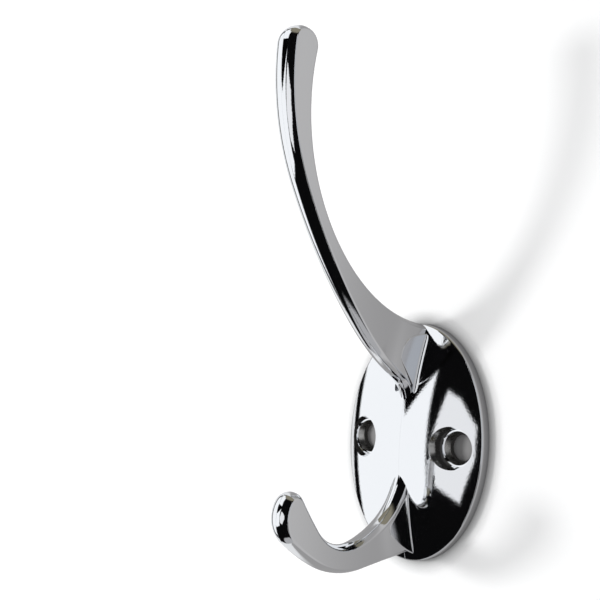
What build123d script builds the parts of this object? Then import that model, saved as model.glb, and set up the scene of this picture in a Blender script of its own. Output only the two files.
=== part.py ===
from build123d import *
from math import radians, sqrt, tan
import os

# Double wall hook, cast in one piece: an oval domed plate, a long upper arm and a short lower hook.
# Millimetres. The wall is the plane y = 0 and the hook stands out from it towards -Y. +Z is up, x = 0
# is the plane of symmetry, and the origin is midway between the two screw holes, on the wall.

# Plate: an oval with a narrow straight rim and a domed face
plate_height = 50.0
plate_width = 35.4
rim_thickness = 2.2
dome_rise = 4.4
rim_round = 0.8

# Screw holes: a plain bore at the wall, a seat for the screw head and a drafted mouth in the dome
hole_spacing = 23.6
bore_diameter = 5.5
bore_length = 1.1
seat_diameter = 6.9
seat_depth = 2.3
ledge_width = 0.35
mouth_draft = 14.0

# Back of the plate: cored out to an even wall, with a boss left round each screw hole
wall_thickness = 2.2
edge_wall = 2.3
boss_wall = 2.8

# Both arms: flat sides, and crowned bands inside and out that meet the sides in a crisp line
crown_width = 1.25
crown_drop = 0.95
crown_round = 1.5

# Upper arm: a round tip over a slender neck that sweeps down to the plate
upper_reach = 46.2
upper_height = 76.5
upper_tip_thickness = 7.3
upper_tip_width = 5.4
upper_root_width = 3.5

# Lower hook: a short J with a blunt round tip, turned up and outwards
lower_reach = 40.8
lower_drop = 24.9
lower_tip_thickness = 4.5
lower_tip_height = -9.0
lower_tip_width = 4.7
lower_root_width = 4.0

# Root flares: a raised D-shaped facet on each flat side, where an arm grows out of the plate
flare_reach = 10.2
flare_lift = 0.15
flare_edge = 0.25
upper_flare_spread = 1.0
lower_flare_spread = 0.3

# Sizes that follow from the ones above
plate_depth = rim_thickness + dome_rise
plate_top = plate_height / 2
neck_rise = upper_height - plate_top
lower_tip_reach = lower_reach - lower_tip_thickness / 5
long_radius = ((plate_height / 2) ** 2 + dome_rise**2) / (2 * dome_rise)
short_radius = ((plate_width / 2) ** 2 + dome_rise**2) / (2 * dome_rise)
buried_y = -rim_thickness / 2
overrun = 1.0


def dome_section(height: float, inset: float) -> Sketch:
    """The dome's short arc at a height, closed behind the wall."""
    reach_z = long_radius - inset
    reach_x = short_radius - inset
    front = long_radius - plate_depth - sqrt(reach_z**2 - height**2)
    half = plate_width / 2 + overrun
    border = front + reach_x - sqrt(reach_x**2 - half**2)
    with BuildSketch(Plane.XY.offset(height), mode=Mode.PRIVATE) as section:
        with BuildLine():
            ThreePointArc((-half, border), (0, front), (half, border))
            Polyline((half, border), (half, plate_depth), (-half, plate_depth), (-half, border))
        make_face()
    return section.sketch


def dome_sections(inset: float = 0) -> list[Sketch]:
    """Sections at even heights, whose arcs stand on the dome's long arc."""
    half = plate_height / 2 + overrun
    return [dome_section(half * step / 2, inset) for step in (-2, -1, 0, 1, 2)]


with BuildPart() as plate:
    with BuildSketch(Plane.XZ):
        Ellipse(plate_width / 2, plate_height / 2)
    extrude(amount=plate_depth + overrun)
    loft(dome_sections(), mode=Mode.INTERSECT)
    fillet(plate.edges().filter_by(lambda edge: edge.center().Y < buried_y), rim_round)

with BuildPart() as core:
    with BuildSketch(Plane.XZ):
        Ellipse(plate_width / 2 - edge_wall, plate_height / 2 - edge_wall)
        with GridLocations(hole_spacing, 0, 2, 1):
            Circle(bore_diameter / 2 + boss_wall, mode=Mode.SUBTRACT)
    extrude(amount=plate_depth + overrun)
    loft(dome_sections(wall_thickness), mode=Mode.INTERSECT)

with BuildPart() as screw_hole:
    mouth = seat_diameter / 2 + ledge_width
    with BuildSketch(Plane.XY):
        with BuildLine():
            Polyline(
                (0, overrun),
                (bore_diameter / 2, overrun),
                (bore_diameter / 2, -bore_length),
                (seat_diameter / 2, -seat_depth),
                (mouth, -seat_depth),
                (mouth + (plate_depth - seat_depth) * tan(radians(mouth_draft)), -plate_depth),
                (0, -plate_depth),
                close=True,
            )
        make_face()
    revolve(axis=Axis.Y)


def tangent_outline(start: tuple, direction: tuple, stations: list, *corners: tuple) -> None:
    """Draws arcs through the stations, each tangent to the one before, and closes the outline."""
    arc = TangentArc(start, stations[0], tangent=direction)
    for station in stations[1:]:
        arc = TangentArc(arc @ 1, station, tangent=arc % 1)
    Polyline(arc @ 1, *corners, start)


def crown_bands(arm: BuildPart, root_width: float) -> None:
    """Bevels an arm's bands down to its flat sides, then rounds the ridge that each bevel leaves."""
    for end in (0, -1):
        flat_side = arm.faces().filter_by(GeomType.PLANE).sort_by(Axis.X)[end]
        borders = flat_side.edges().filter_by(GeomType.LINE, reverse=True)
        chamfer(borders, length=crown_drop, length2=crown_width, reference=flat_side)
    ridges = arm.edges().filter_by(
        lambda edge: abs(edge.center().X) < root_width / 2 and edge.length > 2 * crown_width
        and edge.geom_type != GeomType.LINE
    )
    fillet(ridges, crown_round)


def soften_facets(flare: BuildPart) -> None:
    """Bevels the curved border of each D-shaped facet."""
    for end in (0, -1):
        facet = flare.faces().sort_by(Axis.X)[end]
        chamfer(facet.edges().filter_by(GeomType.LINE, reverse=True), flare_edge)


with BuildPart() as upper_arm:
    with BuildSketch(Plane.YZ.offset(-upper_tip_width / 2)):
        with BuildLine():
            tangent_outline(
                (buried_y, plate_top),
                (-1, 0.05),
                [
                    (-0.446 * upper_reach, plate_top + 0.118 * neck_rise),
                    (-0.777 * upper_reach, plate_top + 0.45 * neck_rise),
                    (upper_tip_thickness - upper_reach, upper_height - 0.59 * upper_tip_thickness),
                    (upper_tip_thickness / 2 - upper_reach, upper_height),
                    (-upper_reach, upper_height - 0.48 * upper_tip_thickness),
                    (-0.883 * upper_reach, plate_top + 0.443 * neck_rise),
                    (-0.485 * upper_reach, 0.916 * plate_top),
                    (-0.201 * upper_reach, 0.512 * plate_top),
                    (-0.894 * plate_depth, 0.284 * plate_top),
                ],
                (buried_y, 0.284 * plate_top),
            )
        make_face()
    extrude(amount=upper_tip_width)
    with BuildSketch(Plane.XZ):
        with BuildLine():
            Polyline(
                (upper_root_width / 2, 0),
                (upper_tip_width / 2, upper_height + overrun),
                (-upper_tip_width / 2, upper_height + overrun),
                (-upper_root_width / 2, 0),
                close=True,
            )
        make_face()
    extrude(amount=upper_reach + overrun, mode=Mode.INTERSECT)
    crown_bands(upper_arm, upper_root_width)

with BuildPart() as lower_hook:
    with BuildSketch(Plane.YZ.offset(-lower_tip_width / 2)):
        with BuildLine():
            tangent_outline(
                (-0.924 * plate_depth, -0.197 * lower_drop),
                (-0.1, -1),
                [
                    (-0.319 * lower_reach, -0.639 * lower_drop),
                    (-0.485 * lower_reach, -0.755 * lower_drop),
                    (-0.752 * lower_reach, -0.614 * lower_drop),
                    (lower_tip_thickness - lower_tip_reach, lower_tip_height),
                    (-lower_tip_reach, lower_tip_height),
                    (-0.946 * lower_reach, -0.707 * lower_drop),
                    (-0.772 * lower_reach, -0.896 * lower_drop),
                    (-0.436 * lower_reach, -lower_drop),
                    (buried_y, -0.928 * lower_drop),
                ],
                (buried_y, -0.197 * lower_drop),
            )
        make_face()
    extrude(amount=lower_tip_width)
    with BuildSketch(Plane.XY):
        with BuildLine():
            Polyline(
                (lower_root_width / 2, 0),
                (lower_tip_width / 2, -lower_reach - overrun),
                (-lower_tip_width / 2, -lower_reach - overrun),
                (-lower_root_width / 2, 0),
                close=True,
            )
        make_face()
    extrude(amount=-lower_drop - overrun, mode=Mode.INTERSECT)
    crown_bands(lower_hook, lower_root_width)

with BuildPart() as upper_flare:
    with BuildSketch(Plane.YZ.offset(-plate_width / 4)):
        with BuildLine():
            tangent_outline(
                (buried_y, 0.92 * plate_top),
                (-1, 0),
                [
                    (-0.608 * flare_reach, 0.896 * plate_top),
                    (-0.99 * flare_reach, 0.732 * plate_top),
                    (-0.951 * flare_reach, 0.668 * plate_top),
                    (-0.48 * flare_reach, 0.404 * plate_top),
                ],
                (buried_y, 0.404 * plate_top),
            )
        make_face()
    extrude(amount=plate_width / 2)
    half_width = upper_root_width / 2 + flare_lift
    with BuildSketch(Plane.XY):
        with BuildLine():
            Polyline(
                (half_width + upper_flare_spread, 0),
                (half_width, -flare_reach - overrun),
                (-half_width, -flare_reach - overrun),
                (-half_width - upper_flare_spread, 0),
                close=True,
            )
        make_face()
    extrude(amount=plate_height / 2, mode=Mode.INTERSECT)
    soften_facets(upper_flare)

with BuildPart() as lower_flare:
    with BuildSketch(Plane.YZ.offset(-plate_width / 4)):
        with BuildLine():
            tangent_outline(
                (-0.451 * flare_reach, -0.353 * lower_drop),
                (-0.6, -0.8),
                [
                    (-1.01 * flare_reach, -0.647 * lower_drop),
                    (-0.99 * flare_reach, -0.751 * lower_drop),
                    (-0.255 * flare_reach, -0.932 * lower_drop),
                ],
                (buried_y, -0.932 * lower_drop),
                (buried_y, -0.353 * lower_drop),
            )
        make_face()
    extrude(amount=plate_width / 2)
    half_width = lower_root_width / 2 + flare_lift
    with BuildSketch(Plane.XY):
        with BuildLine():
            Polyline(
                (half_width + lower_flare_spread, 0),
                (half_width, -flare_reach - overrun),
                (-half_width, -flare_reach - overrun),
                (-half_width - lower_flare_spread, 0),
                close=True,
            )
        make_face()
    extrude(amount=-plate_height / 2, mode=Mode.INTERSECT)
    soften_facets(lower_flare)

with BuildPart() as hook:
    add(plate.part)
    add(upper_arm.part)
    add(lower_hook.part)
    add(upper_flare.part)
    add(lower_flare.part)
    add(core.part, mode=Mode.SUBTRACT)
    with GridLocations(hole_spacing, 0, 2, 1):
        add(screw_hole.part, mode=Mode.SUBTRACT)

hook.part.label = "hook"
os.makedirs("parts", exist_ok=True)
export_step(hook.part, "parts/hook.step")
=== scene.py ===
"""Chrome-plated wall hook, cast in one piece, on a pale wall in soft studio light.

Lengths in the classes of the casting are millimetres and become metres when a mesh is made. The wall
is the plane y = 0, the hook stands out towards -Y, +Z is up and x = 0 is the plane of symmetry.
"""

import logging
import math
from dataclasses import dataclass
from enum import Enum

import bpy
import numpy as np
from mathutils import Matrix, Vector
from mathutils.geometry import tessellate_polygon


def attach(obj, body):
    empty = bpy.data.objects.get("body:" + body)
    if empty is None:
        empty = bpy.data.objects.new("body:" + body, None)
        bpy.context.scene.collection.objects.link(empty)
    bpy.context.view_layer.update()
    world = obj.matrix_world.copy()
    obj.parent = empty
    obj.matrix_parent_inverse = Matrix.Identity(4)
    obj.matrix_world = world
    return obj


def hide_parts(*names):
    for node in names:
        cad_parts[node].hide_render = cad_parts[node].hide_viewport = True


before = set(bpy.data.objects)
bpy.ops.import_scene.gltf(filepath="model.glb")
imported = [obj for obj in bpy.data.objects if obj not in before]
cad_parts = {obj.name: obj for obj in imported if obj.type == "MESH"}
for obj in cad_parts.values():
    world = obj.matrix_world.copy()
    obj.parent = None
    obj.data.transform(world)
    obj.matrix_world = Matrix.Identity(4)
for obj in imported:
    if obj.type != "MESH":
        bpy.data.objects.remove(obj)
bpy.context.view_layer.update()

log = logging.getLogger("wall_hook")

Array = np.ndarray
Socket = bpy.types.NodeSocket

MM = 0.001

# A length that counts as none, in millimetres
TINY = 1e-9

# Points of an outline that are closer than this are one point, in millimetres
SAME_POINT = 1e-6

# Points of neighbouring surfaces are one vertex where they agree to this many decimals of a millimetre
WELD_DECIMALS = 4

# An arc is drawn in at least this many steps
FEWEST_STEPS = 4


class Skin(Enum):
    """The two finishes of a mesh, as its material slots. On the wall, the second is the same paint with
    painted shade.
    """

    MAIN = 0
    SECOND = 1


# Helpers for surfaces


@dataclass
class Patch:
    """One smooth surface: its points, their normals and its faces."""

    points: Array
    normals: Array
    faces: Array
    skin: Skin = Skin.MAIN


def unit(vectors: Array) -> Array:
    """Scales each vector to length one."""
    return vectors / np.maximum(np.linalg.norm(vectors, axis=-1, keepdims=True), TINY)


def xyz(x: Array | float, y: Array | float, z: Array | float) -> Array:
    """Stacks coordinates, each an array or one number for all points, into points."""
    return np.stack(np.broadcast_arrays(x, y, z), axis=-1)


def steps_between(rows: int) -> Array:
    """Shares from 0 to 1 for this many rows, shaped to multiply a row of points."""
    return np.linspace(0, 1, rows)[:, None, None]


def grid_patch(
    surface: Array,
    normals: Array | None = None,
    outward: Array | None = None,
    skin: Skin = Skin.MAIN,
) -> Patch:
    """Makes a patch from a grid of points.

    The normal is the cross product of the two directions of the grid, unless normals are given.

    Args:
        surface: Points, rows by columns by three.
        normals: Normals that broadcast to the same shape, or None to work them out.
        outward: A vector or grid of vectors that worked-out normals agree with, or None.
        skin: The finish.

    Returns:
        The patch, with its faces turned to its normals.
    """
    rows, columns = surface.shape[:2]
    slopes = []
    for axis in (0, 1):
        steps = np.linalg.norm(np.diff(surface, axis=axis), axis=-1).mean(axis=1 - axis)
        places = np.concatenate(([0], np.cumsum(np.maximum(steps, TINY))))
        order = 2 if surface.shape[axis] > 2 else 1
        slopes.append(np.gradient(surface, places, axis=axis, edge_order=order))
    crossed = unit(np.cross(*slopes))
    if normals is None:
        normals = crossed
        if outward is not None and np.sum(normals * outward) < 0:
            normals = -normals
    normals = np.broadcast_to(normals, surface.shape)
    index = np.arange(rows * columns).reshape(rows, columns)
    corners = (index[:-1, :-1], index[1:, :-1], index[1:, 1:], index[:-1, 1:])
    faces = np.stack(corners, axis=-1).reshape(-1, 4)
    if np.sum(crossed * normals) < 0:
        faces = faces[:, ::-1]
    return Patch(surface.reshape(-1, 3), normals.reshape(-1, 3), faces, skin)


def flat_patch(loops: list[Array], normal: tuple | Array, skin: Skin = Skin.MAIN) -> Patch:
    """Fills a flat outline, with or without holes in it.

    Args:
        loops: The outline's points, then each hole's, as n by three arrays.
        normal: The way the flat face looks.
        skin: The finish.

    Returns:
        The patch of triangles.
    """
    triangles = np.array(tessellate_polygon([[Vector(point) for point in loop] for loop in loops]))
    points = np.concatenate(loops)
    aim = unit(np.array(normal, float))
    first, second, third = (points[triangles[:, k]] for k in range(3))
    turned = np.cross(second - first, third - first) @ aim < 0
    triangles[turned] = triangles[turned][:, ::-1]
    return Patch(points, np.broadcast_to(aim, points.shape), triangles, skin)


def mirrored(patch: Patch, axis: int = 0) -> Patch:
    """The patch on the other side of a plane through the origin, across this axis."""
    flip = np.ones(3)
    flip[axis] = -1
    return Patch(patch.points * flip, patch.normals * flip, patch.faces[:, ::-1], patch.skin)


def tangent_chain(start: tuple, direction: tuple, stations: list[tuple], step: float) -> Array:
    """Points along arcs that run through the stations, each arc tangent to the one before.

    With t the tangent, n its left normal and c the chord, an arc turns by twice the angle between
    t and c, and its point after a turn a is start + (sin a * t + (1 - cos a) * n) * radius.

    Args:
        start: First point, (y, z).
        direction: Direction of the chain there.
        stations: The arcs' end points.
        step: Distance between points. A short arc still gets its fewest steps.

    Returns:
        Points, n by two.
    """
    point = np.array(start, float)
    tangent = unit(np.array(direction, float))
    runs = [point[None]]
    for station in stations:
        chord = np.array(station, float) - point
        left = np.array((-tangent[1], tangent[0]))
        turn = 2 * math.atan2(chord @ left, chord @ tangent)
        radius = chord @ chord / (2 * (chord @ left))
        count = max(FEWEST_STEPS, math.ceil(abs(turn * radius) / step))
        angles = np.linspace(0, turn, count + 1)[1:, None]
        runs.append(point + radius * (np.sin(angles) * tangent + (1 - np.cos(angles)) * left))
        tangent = unit(math.cos(turn) * tangent + math.sin(turn) * left)
        point = runs[-1][-1]
    return np.concatenate(runs)


def outline_normals(outline: Array) -> Array:
    """Unit normals of a run of points in the (y, z) plane, on its right-hand side."""
    tangents = unit(np.gradient(outline, axis=0, edge_order=2))
    return np.stack((tangents[:, 1], -tangents[:, 0]), axis=1)


# The casting


@dataclass(frozen=True)
class Dome:
    """The plate's domed face: short arcs across, standing on one long arc up the middle."""

    height: float = 50.0
    width: float = 35.4
    rim: float = 2.2
    rise: float = 4.4
    farthest_x: float = 15.0
    farthest_z: float = 25.0

    @property
    def depth(self) -> float:
        """How far the middle stands out from the wall."""
        return self.rim + self.rise

    @property
    def long_radius(self) -> float:
        """Radius of the arc up the middle."""
        return ((self.height / 2) ** 2 + self.rise**2) / (2 * self.rise)

    @property
    def short_radius(self) -> float:
        """Radius of the arcs across."""
        return ((self.width / 2) ** 2 + self.rise**2) / (2 * self.rise)

    def y(self, x: Array | float, z: Array, inset: float = 0.0) -> Array:
        """The face's y, negative in front of the wall: the long arc's sag plus the short arc's."""
        long_arc = np.sqrt((self.long_radius - inset) ** 2 - z**2)
        short_arc = np.sqrt((self.short_radius - inset) ** 2 - x**2)
        return self.long_radius - self.depth - long_arc + self.short_radius - inset - short_arc

    def y_behind(self, points: Array) -> Array:
        """The face's y behind these points, where those past the plate count as at its border."""
        x = np.clip(points[..., 0], -self.farthest_x, self.farthest_x)
        z = np.clip(points[..., 2], -self.farthest_z, self.farthest_z)
        return self.y(x, z)

    def normal(self, x: Array, z: Array, inset: float = 0.0) -> Array:
        """Normal away from the wall, from the two arcs' slopes."""
        slope_x = x / np.sqrt((self.short_radius - inset) ** 2 - x**2)
        slope_z = z / np.sqrt((self.long_radius - inset) ** 2 - z**2)
        return unit(xyz(slope_x, -1.0, slope_z))


DOME = Dome()


@dataclass
class OvalPlate:
    """The oval wall plate, with its rim, its two screw holes and its cored-out back.

    The face, the holes and the rim share the points on their borders: the face's rays run from the
    right-hand hole to samples on the rim and on the middle line, and the hole's rings turn with them.
    """

    rim_round: float = 0.8
    hole_offset: float = 11.8
    bore_radius: float = 2.75
    bore_length: float = 1.1
    seat_radius: float = 3.45
    seat_depth: float = 2.3
    ledge: float = 0.35
    draft: float = math.tan(math.radians(14.0))
    wall: float = 2.2
    edge_wall: float = 2.3
    boss_wall: float = 2.8
    rim_samples: int = 300
    middle_samples: int = 72
    round_rows: int = 10
    side_rows: int = 4
    face_rows: int = 32
    face_crowding: float = 1.15
    hole_rows: int = 3
    boss_columns: int = 60
    middle_columns: int = 40
    pocket_rows: int = 30
    pocket_wall_rows: int = 6
    solving_rounds: int = 12
    search_steps: int = 4001

    @property
    def mouth_radius(self) -> float:
        """Radius of a hole's mouth at its foot, on the ledge round the seat."""
        return self.seat_radius + self.ledge

    @property
    def boss_radius(self) -> float:
        """Radius of the boss round each bore."""
        return self.bore_radius + self.boss_wall

    @property
    def pocket_radii(self) -> Array:
        """The pocket's half width and half height."""
        return np.array((DOME.width, DOME.height)) / 2 - self.edge_wall

    @property
    def rim_angles(self) -> Array:
        """Angles once round the oval, from its foot."""
        return np.linspace(-math.pi / 2, 3 * math.pi / 2, 2 * self.rim_samples + 1)

    def rim_line(self, angles: Array) -> tuple[Array, Array]:
        """Points (x, z) on the oval at these angles, and its outward normals."""
        a, b = DOME.width / 2, DOME.height / 2
        points = np.stack((a * np.cos(angles), b * np.sin(angles)), axis=1)
        return points, unit(np.stack((np.cos(angles) / a, np.sin(angles) / b), axis=1))

    def rim_contact(self, angles: Array) -> tuple[Array, Array, Array]:
        """Solves where the rounded rim meets the dome.

        The contact lies m in from the side, and m = radius * (1 + s / sqrt(1 + s * s)) where s is
        the dome's slope there, found by putting m back in a few times.

        Args:
            angles: Angles round the oval.

        Returns:
            Contact points (x, z), the centres' y, and the contact angle above the side's normal.
        """
        border, normal = self.rim_line(angles)
        inwards = np.full(len(angles), self.rim_round / 2)
        for _ in range(self.solving_rounds):
            contact = border - inwards[:, None] * normal
            face = DOME.normal(contact[:, 0], contact[:, 1])
            slope = (face[:, 0] * normal[:, 0] + face[:, 2] * normal[:, 1]) / face[:, 1]
            inwards = self.rim_round * (1 + slope / np.sqrt(1 + slope**2))
        contact = border - inwards[:, None] * normal
        centre_y = DOME.y(contact[:, 0], contact[:, 1]) + self.rim_round / np.sqrt(1 + slope**2)
        return contact, centre_y, np.arctan2(1.0, -slope)

    def rim_patches(self) -> list[Patch]:
        """The rounded edge, an arc swept round the oval, and the straight side below it."""
        border, normal = self.rim_line(self.rim_angles)
        contact, centre_y, contact_angle = self.rim_contact(self.rim_angles)
        side = xyz(normal[:, 0], 0.0, normal[:, 1])
        front = np.array((0.0, -1.0, 0.0))
        share = steps_between(self.round_rows)
        turn = share * contact_angle[None, :, None]
        aim = np.cos(turn) * side + np.sin(turn) * front
        centre = border - self.rim_round * normal
        arc = xyz(centre[:, 0], centre_y, centre[:, 1]) + self.rim_round * aim
        arc[-1] = xyz(contact[:, 0], DOME.y(contact[:, 0], contact[:, 1]), contact[:, 1])
        lean = DOME.normal(contact[:, 0], contact[:, 1]) - aim[-1]
        back = xyz(border[:, 0], 0.0, border[:, 1])
        straight = back + steps_between(self.side_rows) * (arc[0] - back)
        return [grid_patch(arc, unit(aim + share * lean)), grid_patch(straight, side)]

    def face_border(self) -> Array:
        """The border (x, z) of one half of the face: the rim's contact line, then up the middle."""
        angles = np.linspace(-math.pi / 2, math.pi / 2, self.rim_samples + 1)
        contact = self.rim_contact(angles)[0]
        contact[[0, -1], 0] = 0.0
        heights = np.linspace(contact[-1, 1], contact[0, 1], self.middle_samples + 1)[1:]
        middle = np.stack((np.zeros(len(heights)), heights), axis=1)
        return np.concatenate((contact, middle))

    def hole_bearings(self) -> Array:
        """The bearing from the right-hand hole's axis to each point of the face's border."""
        border = self.face_border()
        return np.arctan2(border[:, 1], border[:, 0] - self.hole_offset)

    def mouth_ring(self, bearings: Array) -> Array:
        """Points where the drafted mouth leaves the dome, found by putting y back in a few times."""
        radius = np.full(len(bearings), self.mouth_radius)
        for _ in range(self.solving_rounds):
            x = self.hole_offset + radius * np.cos(bearings)
            z = radius * np.sin(bearings)
            y = DOME.y(x, z)
            radius = self.mouth_radius + (-y - self.seat_depth) * self.draft
        return xyz(x, y, z)

    def face_patch(self) -> Patch:
        """One half of the domed face: rays from the hole's mouth out to the border."""
        border = self.face_border()
        mouth = self.mouth_ring(self.hole_bearings())[:, [0, 2]]
        flat = mouth + steps_between(self.face_rows) ** self.face_crowding * (border - mouth)
        x, z = flat[..., 0], flat[..., 1]
        return grid_patch(xyz(x, DOME.y(x, z), z), DOME.normal(x, z))

    def hole_patches(self) -> list[Patch]:
        """The screw hole: mouth, ledge, seat and bore, each a straight line turned round the axis.

        A normal is the line turned by a right angle, to the side that looks at the axis or outwards.
        The mouth and the ledge are polished, and the rest is as cast.
        """
        bearings = self.hole_bearings()
        radial = xyz(np.cos(bearings), 0.0, np.sin(bearings))
        axis = np.array((self.hole_offset, 0.0, 0.0))
        profile = (
            (self.mouth_radius, -self.seat_depth),
            (self.seat_radius, -self.seat_depth),
            (self.bore_radius, -self.bore_length),
            (self.bore_radius, 0.0),
        )
        rings = [self.mouth_ring(bearings)]
        for radius, y in profile:
            rings.append(axis + radius * radial + np.array((0.0, y, 0.0)))
        patches = []
        for upper, lower in zip(rings, rings[1:]):
            slant = lower - upper
            run = np.sum(slant * radial, axis=1, keepdims=True)
            normals = unit(-slant[:, 1:2] * radial + run * np.array((0, 1, 0)))
            seen = np.sum(normals * (np.array((0, -1, 0)) - radial), axis=1, keepdims=True)
            surface = upper + steps_between(self.hole_rows) * slant
            patches.append(grid_patch(surface, normals * np.sign(seen), skin=Skin.SECOND))
        mouth, ledge = patches[:2]
        mouth.skin = ledge.skin = Skin.MAIN
        return patches

    def pocket_columns(self) -> tuple[Array, Array, Array]:
        """The pocket's upper half as columns: their x, their foot and their top.

        A column runs from the middle, or from the round boss where one stands in the way, up to the
        pocket's oval. Columns are spaced by the boss's angle, so that its arc is evenly drawn. The
        last angle is the boss's last point inside the oval.
        """
        a, b = self.pocket_radii
        angles = np.linspace(0, math.pi, self.search_steps)
        x = self.hole_offset - self.boss_radius * np.cos(angles)
        inside = (x / a) ** 2 + (self.boss_radius * np.sin(angles) / b) ** 2 < 1
        angles = np.linspace(0, angles[inside][-1], self.boss_columns)
        right = self.hole_offset - self.boss_radius * np.cos(angles)
        arc = self.boss_radius * np.sin(angles)
        middle = np.linspace(-right[0], right[0], self.middle_columns)[1:-1]
        x = np.concatenate((-right[::-1], middle, right))
        foot = np.concatenate((arc[::-1], np.zeros(len(middle)), arc))
        return x, foot, b * np.sqrt(1 - (x / a) ** 2)

    def pocket_wall(self, line: Array, aim: Array) -> Patch:
        """A wall of the pocket, from its floor's border straight back to the wall plane."""
        back = line * np.array((1, 0, 1))
        surface = line + steps_between(self.pocket_wall_rows) * (back - line)
        return grid_patch(surface, aim, skin=Skin.SECOND)

    def pocket_patches(self) -> list[Patch]:
        """The pocket's floor, parallel to the dome, its outer wall and the walls of the bosses."""
        x, foot, top = self.pocket_columns()
        z = foot + np.linspace(0, 1, self.pocket_rows)[:, None] * (top - foot)
        across = np.broadcast_to(x, z.shape)
        floor = xyz(across, DOME.y(across, z, self.wall), z)
        upper = [grid_patch(floor, -DOME.normal(across, z, self.wall), skin=Skin.SECOND)]
        a, b = self.pocket_radii
        oval = floor[-1]
        upper.append(self.pocket_wall(oval, unit(xyz(-x / a**2, 0.0, -oval[:, 2] / b**2))))
        for side in (-1, 1):
            on_boss = side * x >= self.hole_offset - self.boss_radius - TINY
            arc = floor[0][on_boss]
            axis = np.array((side * self.hole_offset, 0, 0))
            upper.append(self.pocket_wall(arc, unit((arc - axis) * (1, 0, 1))))
        return upper + [mirrored(patch, axis=2) for patch in upper]

    def back_patch(self) -> Patch:
        """The flat back that lies on the wall: the oval less the pocket and the two bores."""
        border = self.rim_line(self.rim_angles[:-1])[0]
        x, foot, top = self.pocket_columns()
        oval = np.stack((x, top), axis=1)
        boss = np.stack((x, foot), axis=1)[foot > TINY]
        left, right = boss[boss[:, 0] <= 0], boss[boss[:, 0] > 0]
        down = np.array((1, -1))
        pocket = np.concatenate(
            (oval, right[::-1], right * down, (oval * down)[::-1], left * down, left[::-1])
        )
        repeated = np.linalg.norm(pocket - np.roll(pocket, 1, axis=0), axis=1) < SAME_POINT
        bearings = self.hole_bearings()[:-1]
        circle = np.stack((np.cos(bearings), np.sin(bearings)), axis=1) * self.bore_radius
        loops = [border, pocket[~repeated]]
        for side in (-1, 1):
            loops.append(circle * (side, 1) + (side * self.hole_offset, 0))
        return flat_patch([xyz(loop[:, 0], 0.0, loop[:, 1]) for loop in loops], (0, 1, 0), Skin.SECOND)

    def patches(self) -> list[Patch]:
        """Every surface of the plate."""
        half = [self.face_patch(), *self.hole_patches()]
        return [
            *self.rim_patches(),
            *half,
            *(mirrored(patch) for patch in half),
            *self.pocket_patches(),
            self.back_patch(),
        ]


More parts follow.
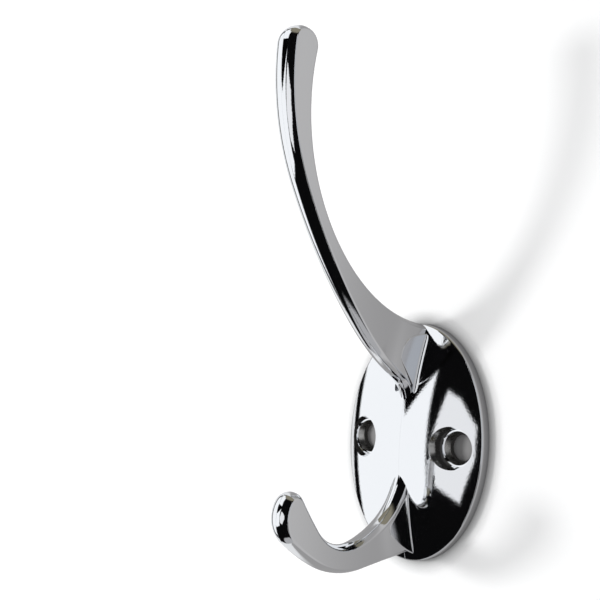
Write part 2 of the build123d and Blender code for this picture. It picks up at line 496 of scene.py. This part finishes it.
@dataclass
class Arm:
    """An arm with flat sides and a crowned band that runs up its inside, over its tip and back."""

    start: tuple
    direction: tuple
    stations: list
    root_width: float
    tip_width: float
    taper_axis: int
    taper_length: float
    crown_width: float = 1.25
    crown_drop: float = 0.95
    softness: float = 0.6
    edge: float = 0.26
    flare_angle: float = 12.5
    flare_start: float = 12.0
    flare_full: float = 7.0
    outline_step: float = 0.05
    rows: int = 200
    crown_columns: int = 15
    edge_columns: int = 5
    side_columns: int = 15
    solving_rounds: int = 4

    def half_width(self, along: Array) -> Array:
        """Half the width at a distance along the axis that the arm widens in."""
        share = np.abs(along) / self.taper_length
        return (self.root_width + share * (self.tip_width - self.root_width)) / 2

    def rooted(self, points: Array) -> Array:
        """The points, with those deep in the plate moved up to halfway through its rim's thickness."""
        moved = points.copy()
        moved[..., 1] = np.minimum(points[..., 1], DOME.y_behind(points) + DOME.rim / 2)
        return moved

    def outline(self) -> tuple[Array, Array]:
        """The side view's points and normals: as many up the inside to the tip as back down."""
        fine = tangent_chain(self.start, self.direction, self.stations, self.outline_step)
        both = np.concatenate((fine, outline_normals(fine)), axis=1)
        tip = int(np.argmax(np.linalg.norm(fine - (fine[0] + fine[-1]) / 2, axis=1)))
        runs = []
        for run in (both[: tip + 1], both[tip:]):
            steps = np.linalg.norm(np.diff(run[:, :2], axis=0), axis=1)
            length = np.concatenate(([0], np.cumsum(steps)))
            places = np.linspace(0, length[-1], self.rows)
            runs.append(np.stack([np.interp(places, length, values) for values in run.T], axis=1))
        whole = np.concatenate((runs[0], runs[1][1:]))
        return whole[:, :2], unit(whole[:, 2:])

    def band(self) -> Array:
        """One half of the crowned band, from its ridge to the flat side.

        At x from the middle, with g the distance past the crown's start times its slope, the band
        lies (g + sqrt(g * g + softness * softness)) / 2 under the outline, which is a flat crown
        that turns into a straight slope. A quadratic curve then rounds the corner between the slope
        and the flat side.
        """
        outline, outward = self.outline()
        crown = np.linspace(0, 1, self.crown_columns)
        corner = np.linspace(0, 1, self.edge_columns + 1)[1:]
        share = np.concatenate((crown, np.ones(self.edge_columns)))[:, None]
        turn = np.concatenate((np.zeros(self.crown_columns), corner))[:, None]
        slant = np.array((self.crown_width, self.crown_drop))
        slant = slant / math.hypot(*slant)
        half = np.broadcast_to(self.half_width(outline[:, self.taper_axis]), (len(share), len(outline)))
        for _ in range(self.solving_rounds):
            x = share * (half - slant[0] * self.edge)
            grown = (x - half + self.crown_width) * self.crown_drop / self.crown_width
            drop = (grown + np.sqrt(grown**2 + self.softness**2)) / 2
            drop = drop + self.edge * (2 * turn * (1 - turn) * slant[1] + turn**2 * (1 + slant[1]))
            x = x + slant[0] * self.edge * (1 - (1 - turn) ** 2)
            y = outline[:, 0] - drop * outward[:, 0]
            z = outline[:, 1] - drop * outward[:, 1]
            half = self.half_width(z if self.taper_axis else y)
        return xyz(x, y, z)

    def side(self, edge: Array) -> list[Patch]:
        """A flat side, ruled from the inside of the arm to its outside, from the root to the tip.

        Near the plate its normals lean forwards, as the casting's sides do where they flare out
        softly into the dome.

        Args:
            edge: The band's border on this side.

        Returns:
            The ruled side and the last small piece at the tip.
        """
        inner, outer = edge[: self.rows], edge[self.rows - 1 :][::-1]
        share = np.linspace(0, 1, self.side_columns)[:, None]
        surface = inner[:, None] + share * (outer - inner)[:, None]
        slope = (self.tip_width - self.root_width) / 2 / self.taper_length
        aim = np.array((1.0, 0.0, -slope) if self.taper_axis else (1.0, slope, 0.0))
        distance = DOME.y_behind(surface) - surface[..., 1]
        nearness = np.clip((self.flare_start - distance) / (self.flare_start - self.flare_full), 0, 1)
        lean = math.tan(math.radians(self.flare_angle)) * nearness**2 * (3 - 2 * nearness)
        normals = unit(aim - lean[..., None] * np.array((0.0, 1.0, 0.0)))
        surface = self.rooted(surface)
        end = np.concatenate((surface[-2], surface[-1, :1]))
        return [grid_patch(surface[:-1], normals[:-1]), flat_patch([end], aim)]

    def patches(self) -> list[Patch]:
        """The band's two halves and the two flat sides."""
        band = self.band()
        strip = grid_patch(band, outward=np.array((1.0, 0.0, 0.0)))
        strip.points = self.rooted(band).reshape(-1, 3)
        made = [strip, *self.side(band[-1])]
        return made + [mirrored(patch) for patch in made]


@dataclass
class RootFacet:
    """A raised D-shaped facet on an arm's side, with a rounded border."""

    start: tuple
    direction: tuple
    stations: list
    end_half_width: float
    spread: float
    fillet: float
    reach: float = 11.2
    edge: float = 0.25
    foot: float = 1.0
    root_x: float = 2.4
    outline_step: float = 0.2
    edge_rows: int = 8
    wall_rows: int = 4
    root_samples: int = 16
    fillet_samples: int = 60
    fillet_rows: int = 14
    fillet_power: int = 8
    solving_rounds: int = 8

    def half_width(self, y: Array) -> Array:
        """The facet's distance from the middle, which grows towards the wall."""
        return self.end_half_width + self.spread * (self.reach + y) / self.reach

    def patches(self) -> list[Patch]:
        """The facet and its border: a quarter round, then straight down into the arm's side."""
        outline = tangent_chain(self.start, self.direction, self.stations, self.outline_step)
        normals = outline_normals(outline)
        outward = xyz(0.0, normals[:, 0], normals[:, 1])
        turn = np.linspace(0, math.pi / 2, self.edge_rows)[:, None]
        inset = self.edge * (1 - np.sin(turn))
        y = outline[:, 0] - inset * normals[:, 0]
        z = outline[:, 1] - inset * normals[:, 1]
        x = self.half_width(y[0]) - self.edge * (1 - np.cos(turn))
        rounded = xyz(x, y, z)
        deep = rounded[-1] * (0, 1, 1) + (self.foot, 0, 0)
        wall = rounded[-1] + steps_between(self.wall_rows) * (deep - rounded[-1])
        depth = DOME.rim / 2
        border = rounded[0]
        rim = border[border[:, 1] < DOME.y_behind(border) + depth]
        low, high = rim[-1, 2], rim[0, 2]
        heights = np.linspace(low, high, self.root_samples)
        root_y = DOME.y(self.root_x, heights) + depth
        root = xyz(self.half_width(root_y), root_y, heights)
        made = [
            grid_patch(rounded, outward=outward),
            grid_patch(wall, outward=outward),
            flat_patch([np.concatenate((rim, root))], (1.0, -self.spread / self.reach, 0.0)),
            self.fillet_patch(low, high),
        ]
        return made + [mirrored(patch) for patch in made]

    def fillet_patch(self, low: float, high: float) -> Patch:
        """The hollow fillet between the facet and the dome.

        At each height it is the curve from a point on the facet to a point on the dome, both the
        fillet's size away from the corner between them, that leaves along one surface and arrives
        along the other: the quadratic curve whose middle handle is the corner.

        Args:
            low: Where the facet's lower border meets the dome.
            high: Where its upper border does.

        Returns:
            The fillet, which runs out to nothing at both ends.
        """
        z = np.linspace(low, high, self.fillet_samples)
        x = np.full(len(z), self.end_half_width)
        for _ in range(self.solving_rounds):
            y = DOME.y(x, z)
            x = self.half_width(y)
        corner = xyz(x, y, z)
        off_centre = np.abs(2 * (z - low) / (high - low) - 1)
        size = self.fillet * np.sqrt(np.clip(1 - off_centre**self.fillet_power, 0, 1))[:, None]
        facet = unit(np.array((-self.spread / self.reach, -1.0, 0.0)))
        face = DOME.normal(x, z)
        plate = unit(xyz(-face[:, 1], face[:, 0], 0.0))
        share = steps_between(self.fillet_rows)
        leaving, arriving = corner + size * facet, corner + size * plate
        surface = (1 - share) ** 2 * leaving + 2 * share * (1 - share) * corner + share**2 * arriving
        sloping = share * plate - (1 - share) * facet
        normals = unit(xyz(-sloping[..., 1], sloping[..., 0], 0.0))
        seen = np.sum(normals * (1.0, -1.0, 0.0), axis=-1, keepdims=True)
        return grid_patch(surface, normals * np.sign(seen))


PLATE = OvalPlate()

# The arms' stations run up the inside, round the tip and back down the outside
UPPER_ARM = Arm(
    start=(-1.1, 25.0),
    direction=(-1, 0.05),
    stations=[
        (-20.605, 31.077), (-35.897, 48.175), (-38.9, 72.193), (-42.55, 76.5), (-46.2, 72.996),
        (-40.795, 47.815), (-22.407, 22.9), (-9.286, 12.8), (-5.9, 7.1),
    ],
    root_width=3.5,
    tip_width=5.4,
    taper_axis=1,
    taper_length=77.5,
)

LOWER_HOOK = Arm(
    start=(-6.098, -4.905),
    direction=(-0.1, -1),
    stations=[
        (-13.015, -15.911), (-19.788, -18.8), (-30.682, -15.289), (-35.4, -9.0), (-39.9, -9.0),
        (-38.597, -17.604), (-31.498, -22.31), (-17.789, -24.9), (-1.1, -23.107),
    ],
    root_width=4.0,
    tip_width=4.7,
    taper_axis=0,
    taper_length=41.8,
)

UPPER_FACET = RootFacet(
    start=(-1.1, 23.0),
    direction=(-1, 0),
    stations=[(-6.2, 22.4), (-10.1, 18.3), (-9.7, 16.7), (-4.9, 10.1)],
    end_half_width=1.9,
    spread=1.0,
    fillet=0.75,
)

LOWER_FACET = RootFacet(
    start=(-4.6, -8.8),
    direction=(-0.6, -0.8),
    stations=[(-10.3, -16.1), (-10.1, -18.7), (-2.6, -23.2)],
    end_half_width=2.15,
    spread=0.3,
    fillet=0.25,
)


def linked_object(name: str, data: bpy.types.ID) -> bpy.types.Object:
    """Makes an object of this data and puts it in the scene."""
    made = bpy.data.objects.new(name, data)
    bpy.context.scene.collection.objects.link(made)
    return made


def mesh_object(name: str, patches: list[Patch]) -> bpy.types.Object:
    """Welds the patches' shared borders into one mesh that keeps each patch's own normals.

    Args:
        name: The object's name.
        patches: Surfaces in millimetres.

    Returns:
        The object, at the origin, with a material index for each face's skin.
    """
    points = np.concatenate([patch.points for patch in patches])
    normals = np.concatenate([patch.normals for patch in patches])
    firsts = np.cumsum([0] + [len(patch.points) for patch in patches[:-1]])
    corners = np.concatenate([patch.faces.reshape(-1) + first for patch, first in zip(patches, firsts)])
    counts = np.concatenate([np.full(len(patch.faces), patch.faces.shape[1]) for patch in patches])
    skins = np.concatenate([np.full(len(patch.faces), patch.skin.value) for patch in patches])
    starts = np.concatenate(([0], np.cumsum(counts)[:-1]))
    rounded = np.round(points, WELD_DECIMALS)
    kept, welded = np.unique(rounded, axis=0, return_index=True, return_inverse=True)[1:]
    mesh = bpy.data.meshes.new(name)
    mesh.vertices.add(len(kept))
    mesh.vertices.foreach_set("co", (points[kept] * MM).astype(np.float32).reshape(-1))
    mesh.loops.add(len(corners))
    mesh.loops.foreach_set("vertex_index", welded.reshape(-1)[corners].astype(np.int32))
    mesh.polygons.add(len(counts))
    mesh.polygons.foreach_set("loop_start", starts.astype(np.int32))
    mesh.polygons.foreach_set("material_index", skins.astype(np.int32))
    mesh.update(calc_edges=True)
    mesh.polygons.foreach_set("use_smooth", np.ones(len(counts), bool))
    mesh.normals_split_custom_set(normals[corners])
    log.info("%s: %d faces", name, len(counts))
    return linked_object(name, mesh)


# Materials

# The Mix node's colour sockets, by number because its other kinds of data use the same names
MIX_FACTOR, MIX_UNDER, MIX_OVER, MIX_RESULT = 0, 6, 7, 2

# What most of a noise's values lie between
NOISE_LOW, NOISE_HIGH = 0.3, 0.7

WHITE = "#ffffff"


def linear(colour: str) -> tuple[float, float, float, float]:
    """Turns an sRGB hex colour into linear light."""
    values = [int(colour[k : k + 2], 16) / 255 for k in (1, 3, 5)]
    return (*(v / 12.92 if v <= 0.04045 else ((v + 0.055) / 1.055) ** 2.4 for v in values), 1.0)


@dataclass
class NodeBench:
    """A node tree with a short way to add nodes to it."""

    tree: bpy.types.NodeTree

    @classmethod
    def emptied(cls, owner: bpy.types.Material | bpy.types.World) -> "NodeBench":
        """The bench for an owner's own node tree, switched on and emptied."""
        owner.use_nodes = True
        owner.node_tree.nodes.clear()
        return cls(owner.node_tree)

    def add(self, kind: str, inputs: dict | None = None, **settings) -> bpy.types.Node:
        """Adds a node.

        Args:
            kind: The shader node's type, without the word ShaderNode in front.
            inputs: By input name, or by number where inputs share a name: a value, an output to
                link, or a node, which stands for its first output.
            settings: The node's own settings.

        Returns:
            The node.
        """
        node = self.tree.nodes.new("ShaderNode" + kind)
        for name, value in settings.items():
            setattr(node, name, value)
        for key, value in (inputs or {}).items():
            if isinstance(value, bpy.types.Node):
                value = value.outputs[0]
            if isinstance(value, Socket):
                self.tree.links.new(value, node.inputs[key])
            else:
                node.inputs[key].default_value = value
        return node


@dataclass(frozen=True)
class ChromePlating:
    """Bright chrome over a cast zinc body, with its sizes and depths in millimetres.

    The plating's orange peel and the grain are bumps. Roughness drifts in soft clouds. The seam is
    the parting line up the middle, as high as this many depths of the grain: level to its top's
    edge, and down to nothing at its foot.
    """

    name: str
    colour: str
    roughness: float
    roughness_swing: float
    peel_size: float
    peel_depth: float
    grain_size: float
    grain_depth: float
    seam: float
    cloud_size: float = 11.1
    seam_colour: str = "#8f9092"
    seam_tint: float = 0.04
    seam_top: float = 0.03
    seam_foot: float = 0.09

    def material(self) -> bpy.types.Material:
        """Builds the metal: clouds for its roughness, two layers of bumps and the seam's ridge."""
        made = bpy.data.materials.new(self.name)
        bench = NodeBench.emptied(made)
        place = bench.add("TexCoord").outputs["Object"]
        cloud, peel, grain = (
            bench.add("TexNoise", {"Vector": place, "Scale": 1 / (size * MM), "Detail": detail})
            for size, detail in ((self.cloud_size, 3.0), (self.peel_size, 1.0), (self.grain_size, 4.0))
        )
        roughness = bench.add(
            "MapRange",
            {
                "Value": cloud,
                "From Min": NOISE_LOW,
                "From Max": NOISE_HIGH,
                "To Min": self.roughness - self.roughness_swing,
                "To Max": self.roughness + self.roughness_swing,
            },
        )
        parts = bench.add("SeparateXYZ", {"Vector": place})
        across = bench.add("Math", {0: parts.outputs["X"]}, operation="ABSOLUTE")
        slope = {"From Min": self.seam_top * MM, "From Max": self.seam_foot * MM}
        seam = bench.add(
            "MapRange",
            {"Value": across, **slope, "To Min": self.seam, "To Max": 0.0},
            interpolation_type="SMOOTHSTEP",
        )
        height = bench.add("Math", {0: grain, 1: seam}, operation="ADD")
        wavy = bench.add("Bump", {"Height": peel, "Distance": self.peel_depth * MM})
        bumpy = bench.add("Bump", {"Height": height, "Distance": self.grain_depth * MM, "Normal": wavy})
        share = bench.add("Math", {0: seam, 1: self.seam_tint}, operation="MULTIPLY")
        tint = bench.add(
            "Mix",
            {MIX_FACTOR: share, MIX_UNDER: linear(self.colour), MIX_OVER: linear(self.seam_colour)},
            data_type="RGBA",
        )
        colour = tint.outputs[MIX_RESULT]
        metal = bench.add(
            "BsdfPrincipled",
            {"Base Color": colour, "Metallic": 1.0, "Roughness": roughness, "Normal": bumpy},
        )
        bench.add("OutputMaterial", {"Surface": metal})
        return made


# Decorative chrome on the buffed casting. The eye sees a near-mirror whose black and white borders
# waver over the orange peel and fray over the grain. Such a grain is really much finer than 0.4 mm
# and would not show here, so it is drawn that coarse. The seam is a hairline up the middle.
POLISHED_CHROME = ChromePlating(
    name="polished_chrome",
    colour="#e6e7e9",
    roughness=0.04,
    roughness_swing=0.015,
    peel_size=1.3,
    peel_depth=0.0016,
    grain_size=0.4,
    grain_depth=0.005,
    seam=1.5,
)

# Thin chrome on the raw casting, in the seats, the bores and behind the plate. The eye sees dull grey
# metal whose pebbled skin smears the light. Its pebbles are drawn coarser than life, to show.
AS_CAST_CHROME = ChromePlating(
    name="as_cast_chrome",
    colour="#a8a6a3",
    roughness=0.25,
    roughness_swing=0.07,
    peel_size=0.9,
    peel_depth=0.014,
    grain_size=0.3,
    grain_depth=0.006,
    seam=0.0,
)


@dataclass(frozen=True)
class WallPaint:
    """Pale matt paint, which the camera and the chrome see differently.

    The camera sees paint with a painted contact shade, and a glow that rises with distance, so that the
    wall ends in the same white as the room. The chrome sees flat painted tones from left to right, as
    bright as the room lights the wall there. From behind the paint is clear, and the plate's back shows.
    """

    name: str
    colour: str
    contact_power: float
    glow: float
    reflected: float
    contact_reach: float = 3.6
    contact_lean: tuple = (-0.9, -0.36, 0.25)
    contact_samples: int = 8
    glow_start: float = 140.0
    glow_end: float = 400.0
    dark_tone: str = "#101011"
    tones: tuple = ((-500, -300, "#f4f5f6"), (-60, -30, "#a5a4a4"), (12, 48, "#c4c3c3"))

    def reflected_tone(self, bench: NodeBench, place: Socket) -> Socket:
        """The painted tones that the chrome sees, as bright as the room lights the wall there. Each takes
        over between its two places.
        """
        across = bench.add("SeparateXYZ", {"Vector": place}).outputs["X"]
        tone = linear(self.dark_tone)
        for start, end, colour in self.tones:
            share = bench.add(
                "MapRange",
                {"Value": across, "From Min": start * MM, "From Max": end * MM},
                interpolation_type="SMOOTHSTEP",
            )
            mix = bench.add(
                "Mix", {MIX_FACTOR: share, MIX_UNDER: tone, MIX_OVER: linear(colour)}, data_type="RGBA"
            )
            tone = mix.outputs[MIX_RESULT]
        return tone

    def material(self) -> bpy.types.Material:
        """Builds the paint. Its painted contact shade leans left, so that it falls on the plate's right."""
        made = bpy.data.materials.new(self.name)
        bench = NodeBench.emptied(made)
        place = bench.add("TexCoord").outputs["Object"]
        # Painted contact shade: occlusion near the plate, raised to a power, darkens the paint, the glow
        # and the reflected tones
        openness = bench.add(
            "AmbientOcclusion",
            {"Distance": self.contact_reach * MM, "Normal": self.contact_lean},
            samples=self.contact_samples,
        ).outputs["AO"]
        contact = bench.add("Math", {0: openness, 1: self.contact_power}, operation="POWER")
        tint = bench.add(
            "Mix",
            {MIX_FACTOR: contact, MIX_UNDER: linear("#000000"), MIX_OVER: linear(self.colour)},
            data_type="RGBA",
        )
        paint = bench.add("BsdfDiffuse", {"Color": tint.outputs[MIX_RESULT]})
        distance = bench.add("VectorMath", {0: place}, operation="LENGTH").outputs["Value"]
        reach = {"From Min": self.glow_start * MM, "From Max": self.glow_end * MM}
        rising = bench.add(
            "MapRange",
            {"Value": distance, **reach, "To Min": self.glow},
            interpolation_type="SMOOTHSTEP",
        )
        glow = bench.add("Math", {0: contact, 1: rising}, operation="MULTIPLY")
        light = bench.add("Emission", {"Color": linear(WHITE), "Strength": glow})
        lit = bench.add("AddShader", {0: paint, 1: light})
        dimmed = bench.add("Math", {0: contact, 1: self.reflected}, operation="MULTIPLY")
        tone = self.reflected_tone(bench, place)
        reflected = bench.add("Emission", {"Color": tone, "Strength": dimmed})
        glossy = bench.add("LightPath").outputs["Is Glossy Ray"]
        shown = bench.add("MixShader", {0: glossy, 1: lit, 2: reflected})
        behind = bench.add("NewGeometry").outputs["Backfacing"]
        clear = bench.add("BsdfTransparent")
        sided = bench.add("MixShader", {0: behind, 1: shown, 2: clear})
        bench.add("OutputMaterial", {"Surface": sided})
        return made


# The wall round the plate: the eye sees white paint that only the key light's shadows and the painted
# contact shade darken
PALE_WALL = WallPaint("pale_wall", "#e7e7e7", contact_power=1.7, glow=0.3, reflected=1.0)

# The wall behind the two bores: the same paint with painted shade, darker and dim in the chrome, so the eye
# sees a deep, even grey there
SHADED_WALL = WallPaint("shaded_wall", "#b0afaf", contact_power=0.5, glow=0.0, reflected=0.15)


# Studio


@dataclass(frozen=True)
class Card:
    """A studio card as the chrome sees it: a convex outline in degrees of bearing and elevation.

    Bearing 0 is straight out from the wall and +90 is +X. The corners run anticlockwise with
    bearing to the right and elevation up. Upright sides past 180 degrees are where the room closes.
    """

    corners: tuple
    colour: str
    strength: float
    softness: float

    def over(self, bench: NodeBench, under: Socket | tuple, place: Socket) -> Socket:
        """Lays the card over what is there: inside every side of its outline, with a soft edge.

        Args:
            bench: The world's node tree.
            under: The light so far, as an output or a colour.
            place: Bearing, elevation and 1, as a vector.

        Returns:
            The light with the card in it.
        """
        inside = None
        half = self.softness / 2
        corners = np.array(self.corners, float)
        for first, second in zip(corners, np.roll(corners, -1, axis=0)):
            along = second - first
            if first[0] == second[0] and abs(first[0]) > 180:
                continue
            inwards = np.array((-along[1], along[0])) / np.linalg.norm(along)
            side = bench.add(
                "VectorMath",
                {0: place, 1: (inwards[0], inwards[1], -float(inwards @ first))},
                operation="DOT_PRODUCT",
            )
            share = bench.add(
                "MapRange",
                {"Value": side.outputs["Value"], "From Min": -half, "From Max": half},
                interpolation_type="SMOOTHSTEP",
            )
            if inside is not None:
                share = bench.add("Math", {0: inside, 1: share}, operation="MINIMUM")
            inside = share
        light = tuple(self.strength * value for value in linear(self.colour)[:3]) + (1.0,)
        mix = bench.add("Mix", {MIX_FACTOR: inside, MIX_UNDER: under, MIX_OVER: light}, data_type="RGBA")
        return mix.outputs[MIX_RESULT]


@dataclass
class Studio:
    """The wall, the room's light and the camera."""

    cards: tuple = (
        # White softbox on the left, which the bands and the left of the plate show
        Card(((-84, -44), (-62, -38), (-30, -21), (-17, 21), (-30, 60), (-84, 60)), "#fbfdff", 1.15, 1.6),
        # Its lower right corner, beside the lower hook
        Card(((-50, -30), (-18, -28), (-17, 21), (-50, 21)), "#fbfdff", 1.15, 2.0),
        # Black flag above it, whose slanted edge shows as the white wedge beside the upper arm
        Card(((-36, 3), (-16.5, 20.5), (-8, 28), (-48, 28)), "#050505", 1.0, 1.0),
        # Softbox to the right of the camera, seen above and below the right-hand hole
        Card(
            ((-15, -6), (-12, -19), (6, -24.5), (17, -9), (17, 2), (4, 11.5), (-6, 14)), "#f1f2f4", 1.1, 1.4
        ),
        # Narrow lamp further right, a thin line along the rim and the tips
        Card(((50, -50), (54, -50), (54, 50), (50, 50)), WHITE, 1.2, 1.5),
        # Pale curtain on the right, seen by the facet under the upper arm
        Card(((57, -13), (76, -13), (76, 38), (57, 38)), "#cdd1d7", 0.9, 7.0),
        # Grey side of the room, as grey as the wall beside it
        Card(((74, -75), (120, -75), (120, 60), (74, 60)), "#bcbcbe", 1.0, 8.0),
        # Warm ceiling, seen by the tips and the inside of the holes
        Card(((-181, 60), (181, 60), (181, 91), (-181, 91)), "#8d8878", 1.0, 12.0),
        # Grey floor far below
        Card(((-181, -91), (181, -91), (181, -68), (-181, -68)), "#b4b4b6", 1.0, 5.0),
        # Behind the wall's plane, a plain light grey room, seen by the back of the plate
        Card(((120, -40), (181, -40), (181, 45), (120, 45)), "#c9cacc", 1.0, 10.0),
        Card(((-181, -40), (-120, -40), (-120, 45), (-181, 45)), "#c9cacc", 1.0, 10.0),
    )
    dark: str = "#0b0b0c"
    haze: float = 0.3
    fill: float = 1.1
    wall_reach: float = 1500.0
    wall_gap: float = 0.05
    wall_columns: int = 181
    wall_crowding: int = 3
    wall_opening: float = 0.97
    wall_rings: int = 30
    disc_margin: float = 0.6
    pinhole: float = 0.01

    def world(self) -> None:
        """Lights the room.

        The chrome's reflections see the cards, other surfaces see them in a pale haze, and the
        camera sees white.
        """
        world = bpy.data.worlds.new("studio")
        bpy.context.scene.world = world
        bench = NodeBench.emptied(world)
        aim = bench.add("TexCoord").outputs["Generated"]
        parts = bench.add("SeparateXYZ", {"Vector": aim}).outputs
        ahead = bench.add("Math", {0: parts["Y"], 1: -1.0}, operation="MULTIPLY")
        bearing = bench.add("Math", {0: parts["X"], 1: ahead}, operation="ARCTAN2")
        elevation = bench.add("Math", {0: parts["Z"]}, operation="ARCSINE")
        across, up = (
            bench.add("Math", {0: angle, 1: math.degrees(1)}, operation="MULTIPLY")
            for angle in (bearing, elevation)
        )
        place = bench.add("CombineXYZ", {"X": across, "Y": up, "Z": 1.0}).outputs[0]
        tone = linear(self.dark)
        for card in self.cards:
            tone = card.over(bench, tone, place)
        reflected = bench.add("Background", {"Color": tone})
        soft = bench.add(
            "Mix", {MIX_FACTOR: self.haze, MIX_UNDER: tone, MIX_OVER: linear(WHITE)}, data_type="RGBA"
        )
        even = bench.add("Background", {"Color": soft.outputs[MIX_RESULT], "Strength": self.fill})
        white = bench.add("Background", {"Color": linear(WHITE)})
        path = bench.add("LightPath").outputs
        lit = bench.add("MixShader", {0: path["Is Glossy Ray"], 1: even, 2: reflected})
        seen = bench.add("MixShader", {0: path["Is Camera Ray"], 1: lit, 2: white})
        bench.add("OutputWorld", {"Surface": seen})

    def key_light(self) -> None:
        """The soft key from the left, level with the hook, which throws its shadow on the wall."""
        lamp = bpy.data.lights.new("key_light", "AREA")
        lamp.shape = "DISK"
        lamp.size = 0.13
        lamp.energy = 2.6
        made = linked_object("key_light", lamp)
        bearing, slope, distance = math.radians(-37), -0.04, 0.8
        aim = Vector((math.sin(bearing), -math.cos(bearing), slope))
        target = Vector((0.0, -0.01, 0.025))
        made.location = target + aim * distance
        made.rotation_euler = aim.to_track_quat("Z", "Y").to_euler()
        made.visible_glossy = False

    def wall(self, plate: OvalPlate) -> None:
        """The wall: rings of the plate's oval, open behind it, with a disc behind each bore."""
        angles = np.linspace(0, 2 * math.pi, self.wall_columns)
        round_way = np.stack((np.cos(angles), np.sin(angles)), axis=1)
        front = np.array((0.0, -1.0, 0.0))
        oval = plate.rim_line(angles)[0] * self.wall_opening
        share = steps_between(self.wall_rings) ** self.wall_crowding
        flat = oval + share * (self.wall_reach * round_way - oval)
        patches = [grid_patch(xyz(flat[..., 0], self.wall_gap, flat[..., 1]), front)]
        for side in (-1, 1):
            radius = np.linspace(self.pinhole, plate.bore_radius + self.disc_margin, 3)[:, None]
            x = side * plate.hole_offset + radius * round_way[:, 0]
            disc = xyz(x, self.wall_gap, radius * round_way[:, 1])
            patches.append(grid_patch(disc, front, skin=Skin.SECOND))
        made = mesh_object("wall", patches)
        for paint in (PALE_WALL, SHADED_WALL):
            made.data.materials.append(paint.material())

    def camera(self) -> None:
        """The camera at the photograph's viewing angle, its focal length in the picture's pixels."""
        sensor, focal_length, picture_width = 36.0, 947.673, 600.0
        lens = bpy.data.cameras.new("camera")
        lens.sensor_width = sensor
        lens.lens = sensor * focal_length / picture_width
        lens.shift_x, lens.shift_y = -0.07, 0.065
        lens.clip_start, lens.clip_end = 0.01, 20.0
        made = linked_object("camera", lens)
        right = (0.7354132, 0.6750202, 0.0592886)
        up = (-0.0398429, -0.0442676, 0.9982244)
        back = (0.6764468, -0.7364703, -0.00566)
        spot = (0.1234736, -0.1605237, 0.019628)
        made.matrix_world = Matrix((*zip(right, up, back, spot), (0, 0, 0, 1)))
        bpy.context.scene.camera = made


def main() -> None:
    """Builds the hook, the studio and the camera."""
    logging.basicConfig(level=logging.INFO, format="%(name)s: %(message)s")
    studio = Studio()
    studio.camera()
    forms = (PLATE, UPPER_ARM, LOWER_HOOK, UPPER_FACET, LOWER_FACET)
    hook = mesh_object("hook_casting", [patch for form in forms for patch in form.patches()])
    for plating in (POLISHED_CHROME, AS_CAST_CHROME):
        hook.data.materials.append(plating.material())
    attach(hook, "root")
    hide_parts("hook")
    studio.wall(PLATE)
    studio.world()
    studio.key_light()
    log.info("studio ready")
    bpy.context.scene.view_settings.view_transform = "Standard"


if __name__ == "__main__":
    main()
